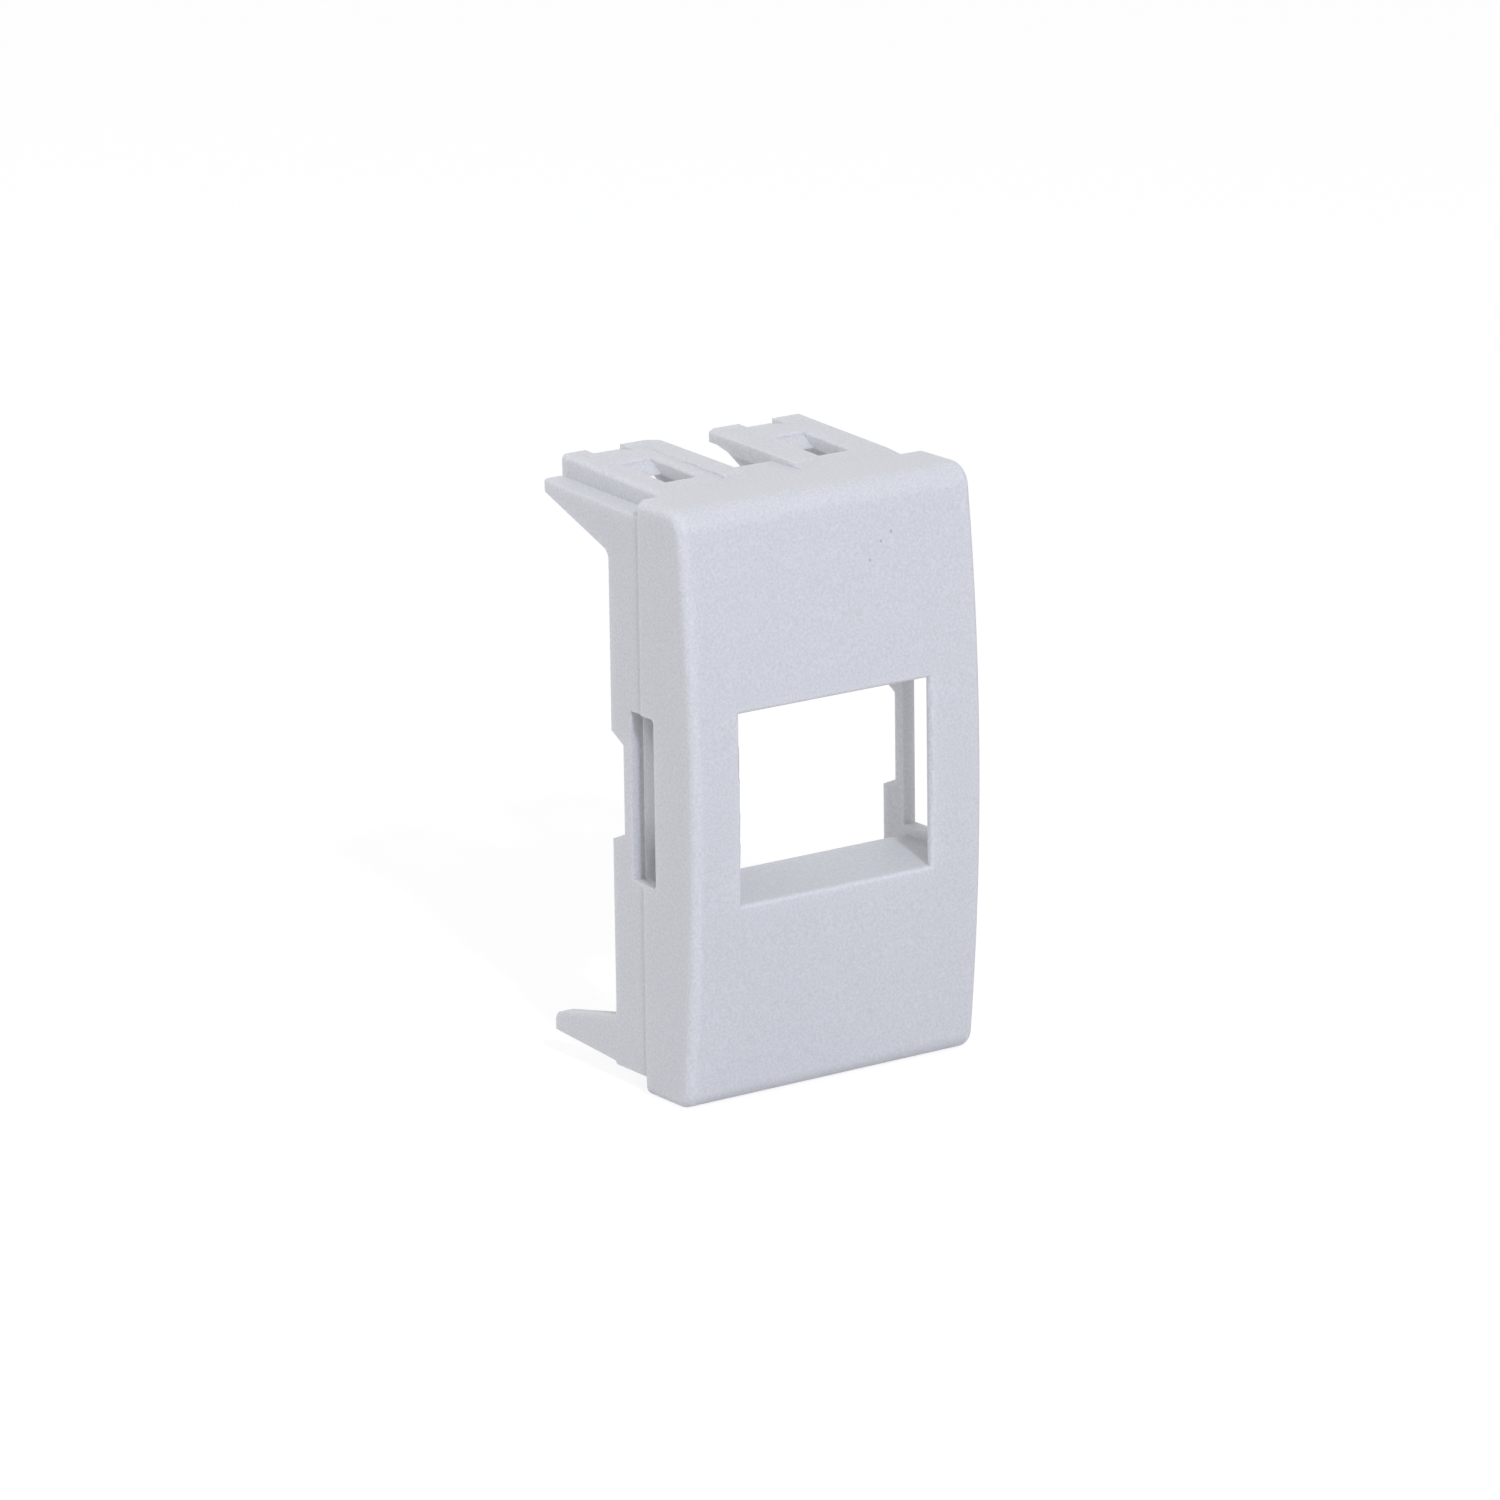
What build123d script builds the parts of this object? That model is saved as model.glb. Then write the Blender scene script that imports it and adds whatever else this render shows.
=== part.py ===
from build123d import *
from math import sqrt, tan, radians
import os

# Snap-in keystone mounting module: one plastic moulding.
# The frame: +X to the right, +Z up, +Y away from the room, into the wall box.
# The origin is the centre of the seating plane, the back of the fascia's lip.

# Fascia, the part that shows in the wall plate
FASCIA_WIDTH = 26.35
FASCIA_HEIGHT = 45.6
FASCIA_DEPTH = 6.8
FRONT_RADIUS = 178.0
TOP_EDGE_RADIUS = 1.9
BOTTOM_EDGE_RADIUS = 1.6
SIDE_EDGE_RADIUS = 0.75
FRONT_WALL = 2.0

# Body behind the fascia, set in from its edges, so that the fascia has a lip
SIDE_LIP = 0.2
END_LIP = 1.35
BODY_REAR = 4.2
SIDE_WALL = 1.1
END_WALL = 1.2

# Opening for the jack, turned so that the jack's latch points sideways
OPENING_WIDTH = 17.3
OPENING_HEIGHT = 14.6
OPENING_SHIFT = -0.3
OPENING_RIM = 0.3
TUNNEL_REAR = 1.6
TUNNEL_WALL = 1.1
GUIDE_WALL = 1.5
UNDERCUT_LIP = 0.6
UNDERCUT_DEPTH = 2.4

# Latch windows in both side walls
WINDOW_FRONT = -1.6
WINDOW_DEPTH = 3.25
WINDOW_HEIGHT = 13.0
WINDOW_CHAMFER = 0.25

# Notches in the rear edges of both side walls
NOTCH_DEPTH = 1.55
NOTCH_TOP = 4.5
NOTCH_BOTTOM = -3.85
NOTCH_TOP_RUN = 0.85
NOTCH_BOTTOM_RUN = 0.65

# Top deck between two ledges, and the two snap tabs that run back from it
LEDGE_WIDTH = 2.0
DECK_RISE = 0.2
DECK_RISE_DEPTH = 1.7
TAB_SHIFT = -0.33
TAB_REAR = 13.1
TAB_INNER = 2.2
TAB_SLOPE = 2.7
TAB_WALL = 1.1
TAB_EDGE_RADIUS = 0.4
NOSE_HEIGHT = 0.75
NOSE_LENGTH = 1.75
NOSE_CROP_WIDTH = 0.9
NOSE_CROP_DEPTH = 0.7

# Spring slot, lead-in and raised strip of each tab, counted out from the gap's centre
SLOT_INNER = 5.5
SLOT_OUTER = 8.4
SLOT_FRONT = 2.8
SLOT_REAR = 9.4
SLOT_RIM = 0.25
LEAD_INNER = 5.43
LEAD_OUTER = 8.53
LEAD_FRONT = 11.2
LEAD_DEPTH = 0.36
STRIP_WIDTH = 2.0
STRIP_HEIGHT = 0.18
STRIP_FRONT = 0.3
STRIP_RAMP = 1.4

# Ears and legs, the side walls run back as tapered fingers, measured from the body's end faces
EAR_REAR = 13.1
EAR_SLOPE = 2.0
EAR_ROOT_DROP = 3.35
EAR_TIP_HEIGHT = 0.6
EAR_ROOT_RADIUS = 0.9
EAR_CORNER = 0.85
WEB_ROOT_DROP = 2.9
WEB_INSET = 1.0
WEB_THICKNESS = 1.1
LEG_REAR = 12.4
LEG_ROOT_RISE = 3.85
LEG_TIP_RISE = 2.15
LEG_TIP_UNDERSIDE = 0.75
LEG_STEP = 0.25
LEG_TIP_RADIUS = 0.9

# Worked out from the sizes above
half_fascia = FASCIA_HEIGHT / 2
half_body = half_fascia - END_LIP
body_side = FASCIA_WIDTH / 2 - SIDE_LIP
side_inner = body_side - SIDE_WALL
deck_side = body_side - LEDGE_WIDTH
cavity_top = half_body - END_WALL
front_sag = FRONT_RADIUS - sqrt(FRONT_RADIUS**2 - half_fascia**2)
inner_radius = FRONT_RADIUS - FRONT_WALL
inner_front = FRONT_WALL - FASCIA_DEPTH
opening_left = OPENING_SHIFT - OPENING_WIDTH / 2
opening_right = OPENING_SHIFT + OPENING_WIDTH / 2
opening_top = OPENING_HEIGHT / 2
deck_top = half_fascia
tab_start = deck_top + DECK_RISE
tab_top = tab_start + (TAB_REAR - DECK_RISE_DEPTH) * tan(radians(TAB_SLOPE))
nose_front = TAB_REAR - NOSE_LENGTH
ear_root = half_body - EAR_ROOT_DROP
web_root = half_body - WEB_ROOT_DROP
leg_root = LEG_ROOT_RISE - half_body
leg_tip = LEG_TIP_RISE - half_body
leg_tip_bottom = LEG_TIP_UNDERSIDE - half_body


def inner_face_y(z):
    """Depth of the front wall's inner face at a height, on the same axis as the front face."""
    return inner_front + inner_radius - sqrt(inner_radius**2 - z**2)


def tab_line(y):
    """Height of the sloping tab top at a depth behind the deck's rise."""
    return tab_start + (y - DECK_RISE_DEPTH) * tan(radians(TAB_SLOPE))


def ledge_line(y):
    """Height of the ledge beside the deck, which rises a little towards its tip."""
    return half_body + y * tan(radians(EAR_SLOPE))


# The whole module is one solid, built up from the fascia to the rear
with BuildPart() as module_body:

    # Fascia: a side profile with a gently crowned front, run across the width
    with BuildSketch(Plane.YZ) as fascia_profile:
        with BuildLine():
            front_top = (front_sag - FASCIA_DEPTH, half_fascia)
            front_bottom = (front_sag - FASCIA_DEPTH, -half_fascia)
            crown = ThreePointArc(front_bottom, (-FASCIA_DEPTH, 0), front_top)
            Polyline(front_top, (0, half_fascia), (0, -half_fascia), front_bottom)
        make_face()
        front_corners = fascia_profile.vertices().group_by(Axis.X)[0]
        fillet(front_corners.sort_by(Axis.Y)[-1], TOP_EDGE_RADIUS)
        front_corners = fascia_profile.vertices().filter_by(lambda v: v.X < -FASCIA_DEPTH / 2)
        fillet(front_corners.sort_by(Axis.Y)[0], BOTTOM_EDGE_RADIUS)
    extrude(amount=FASCIA_WIDTH / 2, both=True)
    side_faces = module_body.faces().filter_by(Axis.X)
    rim = side_faces.edges().filter_by(lambda e: e.center().Y < -SIDE_EDGE_RADIUS / 10)
    fillet(rim, SIDE_EDGE_RADIUS)

    # Body behind the lip, with the raised deck along its top
    with BuildSketch(Plane.XZ) as body_outline:
        Rectangle(2 * body_side, 2 * half_body)
    extrude(amount=-BODY_REAR)
    with BuildSketch(Plane.YZ) as deck_profile:
        with BuildLine():
            Polyline((0, 0), (0, deck_top), (BODY_REAR, deck_top), (BODY_REAR, 0), close=True)
        make_face()
    extrude(amount=deck_side, both=True)

    # Hollow, open at the rear, with the front wall's inner face parallel to the crown
    with BuildSketch(Plane.YZ) as cavity_profile:
        with BuildLine():
            cavity_edge = inner_face_y(cavity_top)
            ThreePointArc((cavity_edge, -cavity_top), (inner_front, 0), (cavity_edge, cavity_top))
            Polyline(
                (cavity_edge, cavity_top),
                (BODY_REAR, cavity_top),
                (BODY_REAR, -cavity_top),
                (cavity_edge, -cavity_top),
            )
        make_face()
    extrude(amount=side_inner, both=True, mode=Mode.SUBTRACT)
    with BuildSketch(Plane.YZ) as deck_hollow:
        with BuildLine():
            Polyline(
                (cavity_edge, 0),
                (cavity_edge, deck_top - END_WALL),
                (BODY_REAR, deck_top - END_WALL),
                (BODY_REAR, 0),
                close=True,
            )
        make_face()
    extrude(amount=deck_side - END_WALL, both=True, mode=Mode.SUBTRACT)

    # Tunnel for the jack: a floor and a ceiling plate, and a guide wall on the hook side
    plate_middle = (OPENING_HEIGHT + TUNNEL_WALL) / 2
    with BuildSketch(Plane.XZ.offset(-inner_front)) as tunnel_plates:
        with Locations((0, plate_middle), (0, -plate_middle)):
            Rectangle(2 * side_inner, TUNNEL_WALL)
    extrude(amount=inner_front - TUNNEL_REAR)
    with BuildSketch(Plane.XZ.offset(-inner_front)) as guide_section:
        with Locations((opening_left - GUIDE_WALL / 2, 0)):
            Rectangle(GUIDE_WALL, OPENING_HEIGHT + TUNNEL_WALL)
    extrude(amount=inner_front - BODY_REAR)

    # Opening through the front wall, with its front rim eased
    with BuildSketch(Plane.XZ) as opening_section:
        with Locations((OPENING_SHIFT, 0)):
            Rectangle(OPENING_WIDTH, OPENING_HEIGHT)
    extrude(amount=FASCIA_DEPTH, mode=Mode.SUBTRACT)
    crown_face = module_body.faces().sort_by(Axis.Y)[0]
    rim_reach = OPENING_WIDTH / 2 + abs(OPENING_SHIFT) + OPENING_RIM
    opening_rim = crown_face.edges().filter_by(lambda e: abs(e.center().X) < rim_reach)
    opening_rim = opening_rim.filter_by(lambda e: abs(e.center().Z) < opening_top + OPENING_RIM)
    fillet(opening_rim, OPENING_RIM)

    # Undercut behind the opening's right edge, where the jack's latch swings in
    undercut_front = UNDERCUT_LIP - FASCIA_DEPTH
    undercut_rear = undercut_front + UNDERCUT_DEPTH
    with BuildSketch(Plane.XY.offset(-opening_top)) as undercut_section:
        with BuildLine():
            Polyline(
                (opening_right, undercut_front),
                (opening_right + UNDERCUT_DEPTH, undercut_rear),
                (opening_right, undercut_rear),
                close=True,
            )
        make_face()
    extrude(amount=OPENING_HEIGHT, mode=Mode.SUBTRACT)

    # Inner web, plate and raised strip of each snap tab, then its stepped outer side and the ear
    web_front = inner_face_y(cavity_top)
    for side in (1, -1):
        tab_inner = TAB_SHIFT + side * TAB_INNER
        with BuildSketch(Plane.YZ.offset(tab_inner)) as tab_profile:
            with BuildLine():
                Polyline(
                    (0, deck_top),
                    (DECK_RISE_DEPTH, tab_start),
                    (TAB_REAR, tab_top),
                    (TAB_REAR, tab_top - NOSE_HEIGHT),
                    (nose_front, tab_line(nose_front) - NOSE_HEIGHT),
                    (SLOT_REAR, tab_line(SLOT_REAR) - TAB_WALL),
                    (DECK_RISE_DEPTH, tab_start - TAB_WALL),
                    (0, deck_top - TAB_WALL),
                    close=True,
                )
            make_face()
        extrude(amount=side * deck_side - tab_inner)

        with BuildSketch(Plane.YZ.offset(tab_inner + side * WEB_INSET)) as web_profile:
            with BuildLine():
                Polyline(
                    (web_front, deck_top - END_WALL / 2),
                    (0, deck_top - END_WALL / 2),
                    (TAB_REAR, tab_top - NOSE_HEIGHT / 2),
                    (TAB_REAR, tab_top - NOSE_HEIGHT),
                    (BODY_REAR, web_root),
                    (web_front, web_root),
                    close=True,
                )
            make_face()
        extrude(amount=side * WEB_THICKNESS)

        strip_top = STRIP_FRONT + STRIP_RAMP
        with BuildSketch(Plane.YZ.offset(tab_inner)) as strip_profile:
            with BuildLine():
                Polyline(
                    (STRIP_FRONT, deck_top),
                    (strip_top, tab_line(strip_top) + STRIP_HEIGHT),
                    (TAB_REAR, tab_top),
                    (TAB_REAR, tab_top - NOSE_HEIGHT / 2),
                    close=True,
                )
            make_face()
        extrude(amount=side * STRIP_WIDTH)

        with BuildSketch(Plane.YZ.offset(side * deck_side)) as step_profile:
            with BuildLine():
                Polyline(
                    (0, deck_top),
                    (DECK_RISE_DEPTH, tab_start),
                    (TAB_REAR, tab_top),
                    (TAB_REAR, ledge_line(TAB_REAR) - EAR_TIP_HEIGHT),
                    (BODY_REAR, web_root),
                    (0, web_root),
                    close=True,
                )
            make_face()
        extrude(amount=-side * TAB_WALL)

        with BuildSketch(Plane.YZ.offset(side * body_side)) as ledge_profile:
            with BuildLine():
                Polyline(
                    (0, half_body),
                    (EAR_REAR, ledge_line(EAR_REAR)),
                    (EAR_REAR, ledge_line(EAR_REAR) - EAR_TIP_HEIGHT),
                    (0, half_body - TAB_WALL),
                    close=True,
                )
            make_face()
        extrude(amount=-side * (LEDGE_WIDTH + TAB_WALL))

        with BuildSketch(Plane.YZ.offset(side * body_side)) as ear_profile:
            with BuildLine():
                Polyline(
                    (0, half_body),
                    (EAR_REAR, ledge_line(EAR_REAR)),
                    (EAR_REAR, ledge_line(EAR_REAR) - EAR_TIP_HEIGHT),
                    (BODY_REAR, ear_root),
                    (0, ear_root),
                    close=True,
                )
            make_face()
        extrude(amount=-side * SIDE_WALL)

        with BuildSketch(Plane.YZ.offset(side * body_side)) as leg_profile:
            with BuildLine():
                Polyline(
                    (0, leg_root),
                    (BODY_REAR, leg_root),
                    (LEG_REAR, leg_tip),
                    (LEG_REAR, leg_tip_bottom),
                    (BODY_REAR + LEG_STEP, LEG_STEP - half_body),
                    (BODY_REAR, -half_body),
                    (0, -half_body),
                    close=True,
                )
            make_face()
            tip = leg_profile.vertices().group_by(Axis.X)[-1].sort_by(Axis.Y)[-1]
            fillet(tip, LEG_TIP_RADIUS)
        extrude(amount=-side * SIDE_WALL)

    # Rounded roots under the ears, and rounded outer corners at their tips
    root_edges = module_body.edges().filter_by(Axis.X)
    root_edges = root_edges.filter_by(lambda e: abs(e.center().Y - BODY_REAR) < 0.01)
    root_edges = root_edges.filter_by(lambda e: abs(e.center().Z - ear_root) < 0.01)
    fillet(root_edges, EAR_ROOT_RADIUS)
    tip_edges = module_body.edges().filter_by(Axis.Z)
    tip_edges = tip_edges.filter_by(lambda e: abs(e.center().Y - EAR_REAR) < 0.01)
    tip_edges = tip_edges.filter_by(lambda e: abs(e.center().X) > body_side - 0.01)
    fillet(tip_edges, EAR_CORNER)

    # Rounded outer edges along the tabs' tops
    outer_edges = module_body.edges().filter_by(lambda e: abs(abs(e.center().X) - deck_side) < 0.01)
    outer_edges = outer_edges.filter_by(lambda e: abs(e.center().Z - tab_line(e.center().Y)) < 0.01)
    fillet(outer_edges, TAB_EDGE_RADIUS)

    # Spring slots, with their top rims eased
    for side in (1, -1):
        slot_middle = TAB_SHIFT + side * (SLOT_INNER + SLOT_OUTER) / 2
        with BuildSketch(Plane.XY.offset(deck_top - END_WALL)) as slot_outline:
            with Locations((slot_middle, (SLOT_FRONT + SLOT_REAR) / 2)):
                Rectangle(SLOT_OUTER - SLOT_INNER, SLOT_REAR - SLOT_FRONT)
        extrude(amount=tab_top - deck_top + END_WALL, mode=Mode.SUBTRACT)
    slot_rims = module_body.edges().filter_by(lambda e: SLOT_FRONT - 0.01 < e.center().Y < SLOT_REAR + 0.01)
    slot_rims = slot_rims.filter_by(lambda e: abs(e.center().Z - tab_line(e.center().Y)) < 0.01)
    slot_rims = slot_rims.filter_by(
        lambda e: SLOT_INNER - 0.01 < abs(e.center().X - TAB_SHIFT) < SLOT_OUTER + 0.01
    )
    fillet(slot_rims, SLOT_RIM)

    # Lead-in behind each slot, and the cropped inner corner of each tab's nose
    for side in (1, -1):
        with BuildSketch(Plane.YZ.offset(TAB_SHIFT + side * LEAD_INNER)) as lead_profile:
            with BuildLine():
                Polyline(
                    (LEAD_FRONT, tab_line(LEAD_FRONT)),
                    (TAB_REAR, tab_top - LEAD_DEPTH),
                    (TAB_REAR, tab_top),
                    close=True,
                )
            make_face()
        extrude(amount=side * (LEAD_OUTER - LEAD_INNER), mode=Mode.SUBTRACT)
        tab_inner = TAB_SHIFT + side * TAB_INNER
        with BuildSketch(Plane.XY.offset(ear_root)) as nose_crop:
            with BuildLine():
                Polyline(
                    (tab_inner, TAB_REAR),
                    (tab_inner, TAB_REAR - NOSE_CROP_DEPTH),
                    (tab_inner + side * NOSE_CROP_WIDTH, TAB_REAR),
                    close=True,
                )
            make_face()
        extrude(amount=tab_top - ear_root, mode=Mode.SUBTRACT)

    # Latch windows and rear notches, through both side walls alike
    side_cut = FASCIA_WIDTH / 2 - side_inner
    for side in (1, -1):
        with BuildSketch(Plane.YZ.offset(side * side_inner)) as window_outline:
            with Locations((WINDOW_FRONT + WINDOW_DEPTH / 2, 0)):
                Rectangle(WINDOW_DEPTH, WINDOW_HEIGHT)
            chamfer(window_outline.vertices().group_by(Axis.X)[0], WINDOW_CHAMFER)
        extrude(amount=side * side_cut, mode=Mode.SUBTRACT)
        with BuildSketch(Plane.YZ.offset(side * side_inner)) as notch_profile:
            with BuildLine():
                Polyline(
                    (BODY_REAR, NOTCH_TOP),
                    (BODY_REAR - NOTCH_DEPTH, NOTCH_TOP - NOTCH_TOP_RUN),
                    (BODY_REAR - NOTCH_DEPTH, NOTCH_BOTTOM + NOTCH_BOTTOM_RUN),
                    (BODY_REAR, NOTCH_BOTTOM),
                    close=True,
                )
            make_face()
        extrude(amount=side * side_cut, mode=Mode.SUBTRACT)

os.makedirs("parts", exist_ok=True)
module_body.part.label = "module_body"
export_step(module_body.part, "parts/module_body.step")
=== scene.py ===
"""Keystone mounting module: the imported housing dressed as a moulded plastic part, in a white studio."""

import logging
import math
from dataclasses import dataclass, field
from enum import Enum
from typing import Any

import bmesh
import bpy
import numpy as np
from mathutils import Matrix, Vector


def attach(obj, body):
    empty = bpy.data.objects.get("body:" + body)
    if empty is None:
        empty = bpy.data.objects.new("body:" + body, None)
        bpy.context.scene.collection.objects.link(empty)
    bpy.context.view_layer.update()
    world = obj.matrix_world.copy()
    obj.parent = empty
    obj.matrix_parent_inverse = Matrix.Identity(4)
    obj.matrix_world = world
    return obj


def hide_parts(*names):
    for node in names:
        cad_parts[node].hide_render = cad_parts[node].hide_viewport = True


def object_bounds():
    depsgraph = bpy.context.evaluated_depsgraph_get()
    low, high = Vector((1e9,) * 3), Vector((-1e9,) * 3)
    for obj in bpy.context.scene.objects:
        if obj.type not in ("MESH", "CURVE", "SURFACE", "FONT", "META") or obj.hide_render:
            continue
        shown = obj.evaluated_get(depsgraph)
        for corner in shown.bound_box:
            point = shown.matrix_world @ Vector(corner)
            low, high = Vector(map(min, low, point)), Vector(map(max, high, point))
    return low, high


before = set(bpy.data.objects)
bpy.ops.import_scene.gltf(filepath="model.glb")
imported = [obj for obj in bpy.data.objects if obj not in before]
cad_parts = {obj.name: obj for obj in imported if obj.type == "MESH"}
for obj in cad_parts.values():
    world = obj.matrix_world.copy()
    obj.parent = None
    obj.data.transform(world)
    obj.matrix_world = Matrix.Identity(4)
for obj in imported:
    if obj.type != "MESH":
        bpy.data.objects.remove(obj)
CAD_BOX = [list(corner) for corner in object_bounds()]

LOG = logging.getLogger("keystone_module")
MM = 0.001
BODY = "root"


class Ray(Enum):
    """Kinds of ray that see the white surround instead of the lit one."""

    CAMERA = "Is Camera Ray"
    GLOSSY = "Is Glossy Ray"
    TRANSMISSION = "Is Transmission Ray"


def linear(colour: str) -> tuple[float, float, float, float]:
    """Turns an sRGB hex colour into linear RGBA.

    Args:
        colour: Six hex digits with a leading hash sign.

    Returns:
        Red, green, blue and a full alpha, in linear light.
    """
    channels = [int(colour[i:i + 2], 16) / 255 for i in (1, 3, 5)]
    # The sRGB standard's own curve: straight close to black, then a power of 2.4
    red, green, blue = [c / 12.92 if c <= 0.04045 else ((c + 0.055) / 1.055) ** 2.4 for c in channels]
    return red, green, blue, 1.0


def add_node(
    tree: bpy.types.NodeTree,
    kind: str,
    inputs: dict[str | int, Any] | None = None,
    **settings: Any,
) -> bpy.types.Node:
    """Adds one node to a tree, sets it and links it.

    Args:
        tree: Node tree of a material or of the world.
        kind: Blender's type name of the node.
        inputs: Input name or number to a value, or to the socket that feeds it.
        settings: Attributes of the node itself.

    Returns:
        The new node.
    """
    node = tree.nodes.new(kind)
    for name, value in settings.items():
        setattr(node, name, value)
    for name, value in (inputs or {}).items():
        if isinstance(value, bpy.types.NodeSocket):
            tree.links.new(value, node.inputs[name])
        else:
            node.inputs[name].default_value = value
    return node


def clear_tree(owner: bpy.types.Material | bpy.types.World) -> bpy.types.NodeTree:
    """Switches nodes on for a material or a world and empties its tree."""
    owner.use_nodes = True
    owner.node_tree.nodes.clear()
    return owner.node_tree


@dataclass(frozen=True)
class MouldedPlastic:
    """Injection-moulded polycarbonate blend, white with a cool cast.

    The steel mould was spark eroded, so the skin is matt with a fine pebble grain, and flow in the
    mould leaves a very faint cloudiness. A little light enters the plastic and softens its shadows.
    """

    name: str = "moulded_polycarbonate_white"
    body_colour: str = "#DEDFE2"
    cloud_colour: str = "#DADBDE"
    # Painted shade: a darker colour laid in the grain's pits
    pit_shade_colour: str = "#CDCED1"
    speck_colour: str = "#B2B3B8"
    roughness: float = 0.52
    ior: float = 1.58
    scatter: float = 0.5
    scatter_depth_mm: float = 1.5
    # Red, green and blue scatter alike, because the plastic is a plain white
    scatter_balance: tuple[float, float, float] = (1.0, 1.0, 1.0)
    # Real spark-eroded grain is near 0.1 mm; it is drawn at 0.2 mm so that it shows in the render
    grain_mm: float = 0.20
    grain_height_mm: float = 0.010
    grain_softness: float = 0.55
    cloud_mm: float = 9.0
    cloud_softness: float = 0.5
    detail: float = 2.0
    # The grain's height, from 0 to 1, at which the painted shade in a pit starts and at which it is full
    pit_shade_start: float = 0.70
    pit_shade_full: float = 0.30
    specks_mm: tuple[tuple[float, float, float], ...] = (
        (5.50, -5.81, 18.79), (4.53, -5.87, 18.19), (3.42, -5.99, 16.94))
    speck_radius_mm: float = 0.11
    # A speck fades out between these multiples of its radius
    speck_outside: float = 1.5
    speck_inside: float = 0.5

    def noise(
        self,
        tree: bpy.types.NodeTree,
        place: bpy.types.NodeSocket,
        size_mm: float,
        softness: float,
    ) -> bpy.types.NodeSocket:
        """Adds an even noise whose lumps have a real size.

        Args:
            tree: Node tree of the material.
            place: Object coordinates.
            size_mm: Size of one lump in millimetres.
            softness: Share of the next finer octave.

        Returns:
            A socket from 0 to 1.
        """
        return add_node(tree, "ShaderNodeTexNoise", {
            "Vector": place, "Scale": 1 / (size_mm * MM), "Detail": self.detail,
            "Roughness": softness}).outputs["Fac"]

    def blend(
        self,
        tree: bpy.types.NodeTree,
        factor: bpy.types.NodeSocket,
        first: bpy.types.NodeSocket | tuple[float, ...],
        second: bpy.types.NodeSocket | tuple[float, ...],
    ) -> bpy.types.NodeSocket:
        """Adds a mix of two colours.

        Args:
            tree: Node tree of the material.
            factor: 0 for the first colour and 1 for the second.
            first: First colour.
            second: Second colour.

        Returns:
            The mixed colour.
        """
        return add_node(
            tree, "ShaderNodeMix", {"Factor": factor, "A": first, "B": second},
            data_type="RGBA").outputs["Result"]

    def skin_colour(
        self,
        tree: bpy.types.NodeTree,
        place: bpy.types.NodeSocket,
        grain: bpy.types.NodeSocket,
    ) -> bpy.types.NodeSocket:
        """Colours the skin: a faintly cloudy white, with painted shade in the grain's pits, and darker in the
        specks.

        Args:
            tree: Node tree of the material.
            place: Object coordinates.
            grain: Height of the grain from 0 to 1.

        Returns:
            The skin's colour.
        """
        clouds = self.noise(tree, place, self.cloud_mm, self.cloud_softness)
        # Painted shade in the grain's pits, following the grain's height
        pit_shade = add_node(tree, "ShaderNodeMapRange", {
            "Value": grain, "From Min": self.pit_shade_start, "From Max": self.pit_shade_full})
        cloudy = self.blend(tree, clouds, linear(self.body_colour), linear(self.cloud_colour))
        colour = self.blend(tree, pit_shade.outputs["Result"], cloudy, linear(self.pit_shade_colour))
        for speck in self.specks_mm:
            distance = add_node(tree, "ShaderNodeVectorMath", {
                0: place, 1: [value * MM for value in speck]}, operation="DISTANCE")
            spot = add_node(tree, "ShaderNodeMapRange", {
                "Value": distance.outputs["Value"],
                "From Min": self.speck_outside * self.speck_radius_mm * MM,
                "From Max": self.speck_inside * self.speck_radius_mm * MM})
            colour = self.blend(tree, spot.outputs["Result"], colour, linear(self.speck_colour))
        return colour

    def build(self) -> bpy.types.Material:
        """Makes the material.

        Returns:
            The material, on Object coordinates throughout.
        """
        material = bpy.data.materials.new(self.name)
        tree = clear_tree(material)
        place = add_node(tree, "ShaderNodeTexCoord").outputs["Object"]
        grain = self.noise(tree, place, self.grain_mm, self.grain_softness)
        bump = add_node(tree, "ShaderNodeBump", {
            "Height": grain, "Distance": self.grain_height_mm * MM, "Strength": 1.0})
        shader = add_node(tree, "ShaderNodeBsdfPrincipled", {
            "Base Color": self.skin_colour(tree, place, grain),
            "Roughness": self.roughness,
            "IOR": self.ior,
            "Subsurface Weight": self.scatter,
            "Subsurface Scale": self.scatter_depth_mm * MM,
            "Subsurface Radius": self.scatter_balance,
            "Normal": bump.outputs["Normal"]})
        add_node(tree, "ShaderNodeOutputMaterial", {"Surface": shader.outputs["BSDF"]})
        return material


@dataclass(frozen=True)
class PointMove:
    """A small move of all points in a box, in millimetres.

    Each triple is the distance to either side of the gap's middle, then depth, then height. The step's
    first value is plain X, and it is zero, so that both tabs change alike.
    """

    name: str
    low: tuple[float, float, float]
    high: tuple[float, float, float]
    step: tuple[float, float, float]


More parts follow.
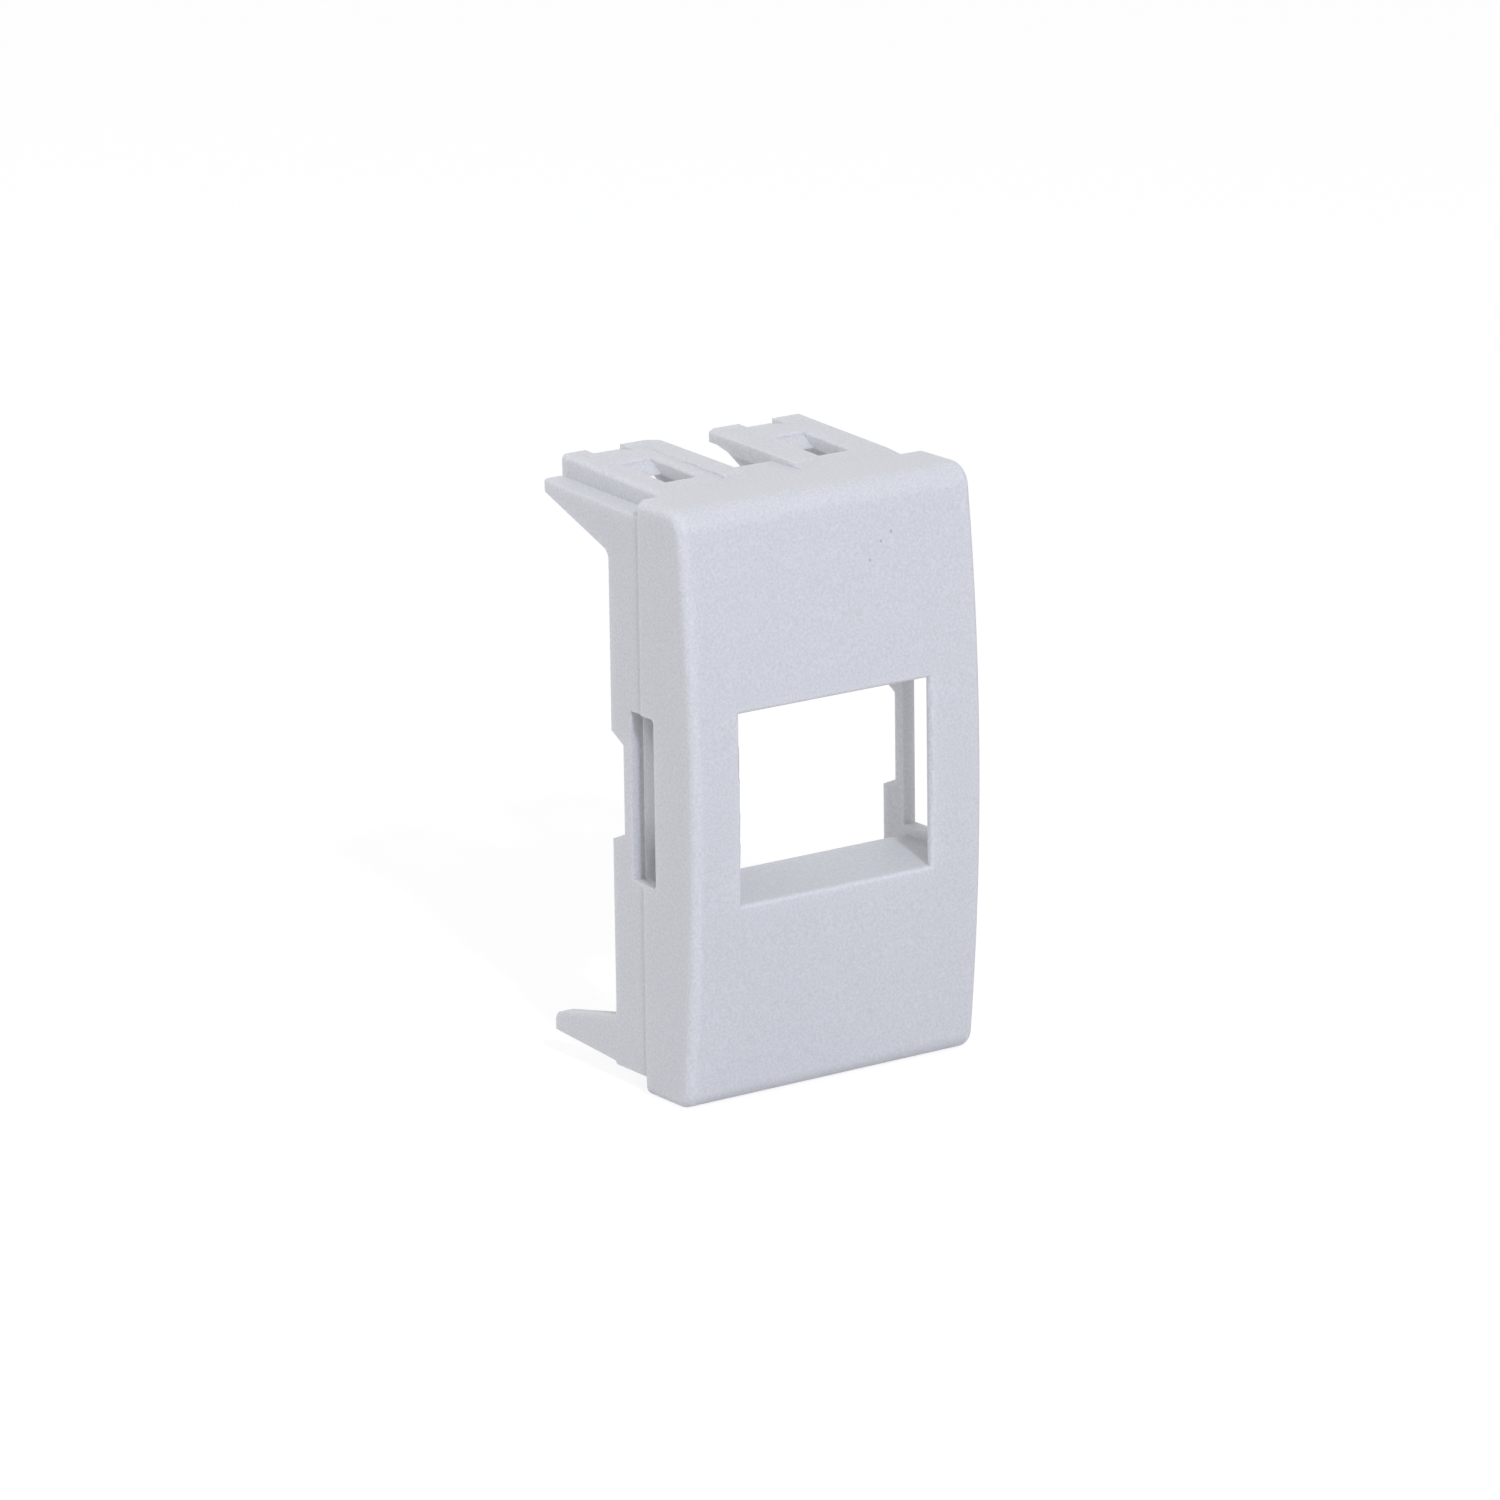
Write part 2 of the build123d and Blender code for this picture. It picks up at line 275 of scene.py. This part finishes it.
@dataclass
class Housing:
    """The one-piece moulding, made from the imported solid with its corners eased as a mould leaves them."""

    node: str = "module_body"
    slot: str = "moulding"
    corner_radius_mm: float = 0.10
    corner_segments: int = 3
    merge_mm: float = 0.0005
    flat_degrees: float = 0.3
    sharp_degrees: float = 24.0
    gap_middle_mm: float = -0.33
    moves: tuple[PointMove, ...] = (
        PointMove("slot rear walls", low=(5.2, 9.1, 21.0), high=(8.7, 9.7, 24.0), step=(0.0, -0.6, 0.0)),
        PointMove("slot rear ramps", low=(5.2, 9.1, 21.0), high=(8.7, 9.7, 22.6), step=(0.0, -1.2, 0.0)),
        PointMove("strip ramps", low=(2.0, 0.45, 22.7), high=(4.4, 0.65, 23.0), step=(0.0, 0.5, 0.059)))
    finish: MouldedPlastic = field(default_factory=MouldedPlastic)

    def merged_skin(self) -> bpy.types.Mesh:
        """Copies the solid's loose triangles into one closed skin with whole flat faces.

        Returns:
            A new mesh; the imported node's own mesh is left alone.
        """
        skin = bmesh.new()
        skin.from_mesh(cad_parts[self.node].data)
        bmesh.ops.remove_doubles(skin, verts=skin.verts, dist=self.merge_mm * MM)
        bmesh.ops.dissolve_limit(
            skin, angle_limit=math.radians(self.flat_degrees), verts=skin.verts, edges=skin.edges,
            delimit={"NORMAL"})
        mesh = bpy.data.meshes.new("housing")
        skin.to_mesh(mesh)
        skin.free()
        self.move_points(mesh)
        return mesh

    def move_points(self, mesh: bpy.types.Mesh) -> None:
        """Sets small forms of the tabs where the photograph has them.

        Every point in a move's box goes by that move's step, and steps add up where boxes overlap.

        Args:
            mesh: The merged skin, changed in place.
        """
        points = np.empty(3 * len(mesh.vertices))
        mesh.vertices.foreach_get("co", points)
        points = points.reshape(-1, 3)
        place = points / MM
        place[:, 0] = np.abs(place[:, 0] - self.gap_middle_mm)
        for move in self.moves:
            taken = np.all((place > move.low) & (place < move.high), axis=1)
            points[taken] += np.array(move.step) * MM
            LOG.info("%s: %d points set", move.name, int(taken.sum()))
        mesh.vertices.foreach_set("co", points.ravel())

    def build(self) -> bpy.types.Object:
        """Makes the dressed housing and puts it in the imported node's place.

        Returns:
            The housing piece.
        """
        mesh = self.merged_skin()
        mesh.materials.clear()
        mesh.materials.append(self.finish.build())
        mesh.polygons.foreach_set("use_smooth", np.ones(len(mesh.polygons), dtype=bool))
        mesh.set_sharp_from_angle(angle=math.radians(self.sharp_degrees))
        piece = bpy.data.objects.new("housing", mesh)
        bpy.context.scene.collection.objects.link(piece)
        self.ease(piece)
        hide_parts(self.node)
        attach(piece, BODY)
        return piece

    def ease(self, piece: bpy.types.Object) -> None:
        """Eases the sharp corners, and keeps the shading of large faces flat beside them.

        Args:
            piece: The housing, which gets the modifiers.
        """
        ease = piece.modifiers.new("eased_corners", "BEVEL")
        ease.width = self.corner_radius_mm * MM
        ease.segments = self.corner_segments
        ease.limit_method = "ANGLE"
        ease.angle_limit = math.radians(self.sharp_degrees)
        ease.use_clamp_overlap = True
        weigh = piece.modifiers.new("flat_faces_stay_flat", "WEIGHTED_NORMAL")
        weigh.mode = "FACE_AREA"
        weigh.keep_sharp = True


@dataclass(frozen=True)
class Softbox:
    """One square soft lamp that faces the object.

    Attributes:
        name: Name of the lamp.
        azimuth: Degrees round from the front, positive to the object's right.
        elevation: Degrees above the horizon.
        size: Side of the square in metres.
        power: Watts.
        colour: sRGB hex colour.
        distance: Metres from the object's centre.
    """

    name: str
    azimuth: float
    elevation: float
    size: float
    power: float
    colour: str
    distance: float = 0.60

    def build(self) -> None:
        """Makes the lamp and puts it in the scene."""
        turn, rise = math.radians(self.azimuth), math.radians(self.elevation)
        towards = Vector((math.sin(turn) * math.cos(rise), -math.cos(turn) * math.cos(rise), math.sin(rise)))
        light = bpy.data.lights.new(self.name, "AREA")
        light.shape = "SQUARE"
        light.size = self.size
        light.energy = self.power
        light.color = linear(self.colour)[:3]
        lamp = bpy.data.objects.new(self.name, light)
        lamp.location = towards * self.distance
        lamp.rotation_euler = towards.to_track_quat("Z", "Y").to_euler()
        bpy.context.scene.collection.objects.link(lamp)


@dataclass
class Studio:
    """Pale floor, white surround, a small key lamp and a weak soft lamp from behind, at a plain level.

    The object is lit by the pale floor and the surround. The camera sees both as near white: the floor
    by a glow, with a dim paint over it that still takes the object's shadow.
    """

    floor_size: float = 6.0
    floor_points: int = 3
    floor_colour: str = "#E2E2E4"
    seen_colour: str = "#7A7A7C"
    seen_glow: float = 0.86
    sky_colour: str = "#FFFFFF"
    sky_strength: float = 0.57
    seen_sky_strength: float = 1.0
    lamps: tuple[Softbox, ...] = (
        Softbox("key_softbox", azimuth=-16.5, elevation=38.0, size=0.04, power=1.68, colour="#EBEFFF"),
        Softbox("fill_softbox", azimuth=-125.0, elevation=32.0, size=0.35, power=0.46, colour="#FFFFFF"))

    def white_to_rays(self, tree: bpy.types.NodeTree) -> bpy.types.NodeSocket:
        """Adds up the kinds of ray that see the surround as plain white.

        Args:
            tree: Node tree of the world or of the floor's material.

        Returns:
            A socket that is 1 for those rays and 0 for the rest.
        """
        path = add_node(tree, "ShaderNodeLightPath")
        total: Any = 0.0
        for ray in Ray:
            total = add_node(
                tree, "ShaderNodeMath", {0: path.outputs[ray.value], 1: total},
                operation="ADD", use_clamp=True).outputs["Value"]
        return total

    def floor_mesh(self, height: float) -> bpy.types.Mesh:
        """Makes the floor: point (u, v) of a square grid, each from -1/2 to 1/2, lies at size times (u, v).

        Args:
            height: Z of the floor in metres.

        Returns:
            The floor's mesh, facing up.
        """
        across = np.linspace(-0.5, 0.5, self.floor_points)
        u, v = np.meshgrid(across, across, indexing="ij")
        points = np.stack([self.floor_size * u, self.floor_size * v, np.full_like(u, height)], axis=-1)
        corner = np.arange(u.size).reshape(u.shape)
        quads = np.stack([corner[:-1, :-1], corner[1:, :-1], corner[1:, 1:], corner[:-1, 1:]], axis=-1)
        mesh = bpy.data.meshes.new("floor")
        mesh.from_pydata(points.reshape(-1, 3).tolist(), [], quads.reshape(-1, 4).tolist())
        return mesh

    def floor_material(self) -> bpy.types.Material:
        """Makes the floor's paint: pale to the object, near white to the camera, with a faint shadow.

        Returns:
            The floor's material.
        """
        material = bpy.data.materials.new("matt_painted_floor")
        tree = clear_tree(material)
        pale = add_node(tree, "ShaderNodeBsdfDiffuse", {"Color": linear(self.floor_colour)})
        seen = add_node(tree, "ShaderNodeBsdfDiffuse", {"Color": linear(self.seen_colour)})
        glow = add_node(tree, "ShaderNodeEmission", {"Strength": self.seen_glow})
        both = add_node(tree, "ShaderNodeAddShader", {
            0: seen.outputs["BSDF"], 1: glow.outputs["Emission"]})
        mix = add_node(tree, "ShaderNodeMixShader", {
            "Fac": self.white_to_rays(tree), 1: pale.outputs["BSDF"], 2: both.outputs["Shader"]})
        add_node(tree, "ShaderNodeOutputMaterial", {"Surface": mix.outputs["Shader"]})
        return material

    def surround(self) -> bpy.types.World:
        """Makes the surround: a plain white sky, dimmer to the object than to the camera.

        Returns:
            The world.
        """
        world = bpy.data.worlds.new("white_surround")
        tree = clear_tree(world)
        strength = add_node(tree, "ShaderNodeMapRange", {
            "Value": self.white_to_rays(tree), "To Min": self.sky_strength, "To Max": self.seen_sky_strength})
        sky = add_node(tree, "ShaderNodeBackground", {
            "Color": linear(self.sky_colour), "Strength": strength.outputs["Result"]})
        add_node(tree, "ShaderNodeOutputWorld", {"Surface": sky.outputs["Background"]})
        return world

    def build(self, floor_height: float) -> None:
        """Makes the floor, the surround and the lamps.

        Args:
            floor_height: Z of the object's lowest point in metres.
        """
        mesh = self.floor_mesh(floor_height)
        mesh.materials.append(self.floor_material())
        floor = bpy.data.objects.new("floor", mesh)
        bpy.context.scene.collection.objects.link(floor)
        bpy.context.scene.world = self.surround()
        for lamp in self.lamps:
            lamp.build()
            LOG.info("%s placed", lamp.name)


@dataclass
class PhotoCamera:
    """The photograph's viewpoint, solved from the part's own corners.

    Right, up and back are the camera's own axes. The lens is long, as the photograph's weak perspective asks.
    """

    location_mm: tuple[float, float, float] = (-332.4585, -470.2568, 159.5193)
    right: tuple[float, float, float] = (0.817280, -0.576101, -0.012655)
    up: tuple[float, float, float] = (0.162241, 0.208978, 0.964368)
    back: tuple[float, float, float] = (-0.552929, -0.790212, 0.264261)
    lens_mm: float = 192.0
    sensor_mm: float = 36.0
    nearest: float = 0.01
    farthest: float = 20.0

    def build(self) -> None:
        """Makes the camera and sets it as the scene's."""
        data = bpy.data.cameras.new("photo_camera")
        data.lens = self.lens_mm
        data.sensor_width = self.sensor_mm
        data.sensor_fit = "HORIZONTAL"
        data.clip_start = self.nearest
        data.clip_end = self.farthest
        camera = bpy.data.objects.new("photo_camera", data)
        bpy.context.scene.collection.objects.link(camera)
        turn = Matrix((self.right, self.up, self.back)).transposed().to_4x4()
        camera.matrix_world = Matrix.Translation(Vector(self.location_mm) * MM) @ turn
        bpy.context.scene.camera = camera


def main() -> None:
    """Builds the camera, the housing and the studio in order, and logs the housing's face count."""
    logging.basicConfig(level=logging.INFO, format="%(name)s: %(message)s")
    bpy.context.scene.view_settings.view_transform = "Standard"
    PhotoCamera().build()
    LOG.info("camera placed")
    piece = Housing().build()
    LOG.info("housing: %d faces before its corners are eased", len(piece.data.polygons))
    Studio().build(CAD_BOX[0][2])
    LOG.info("studio lit")


if __name__ == "__main__":
    main()
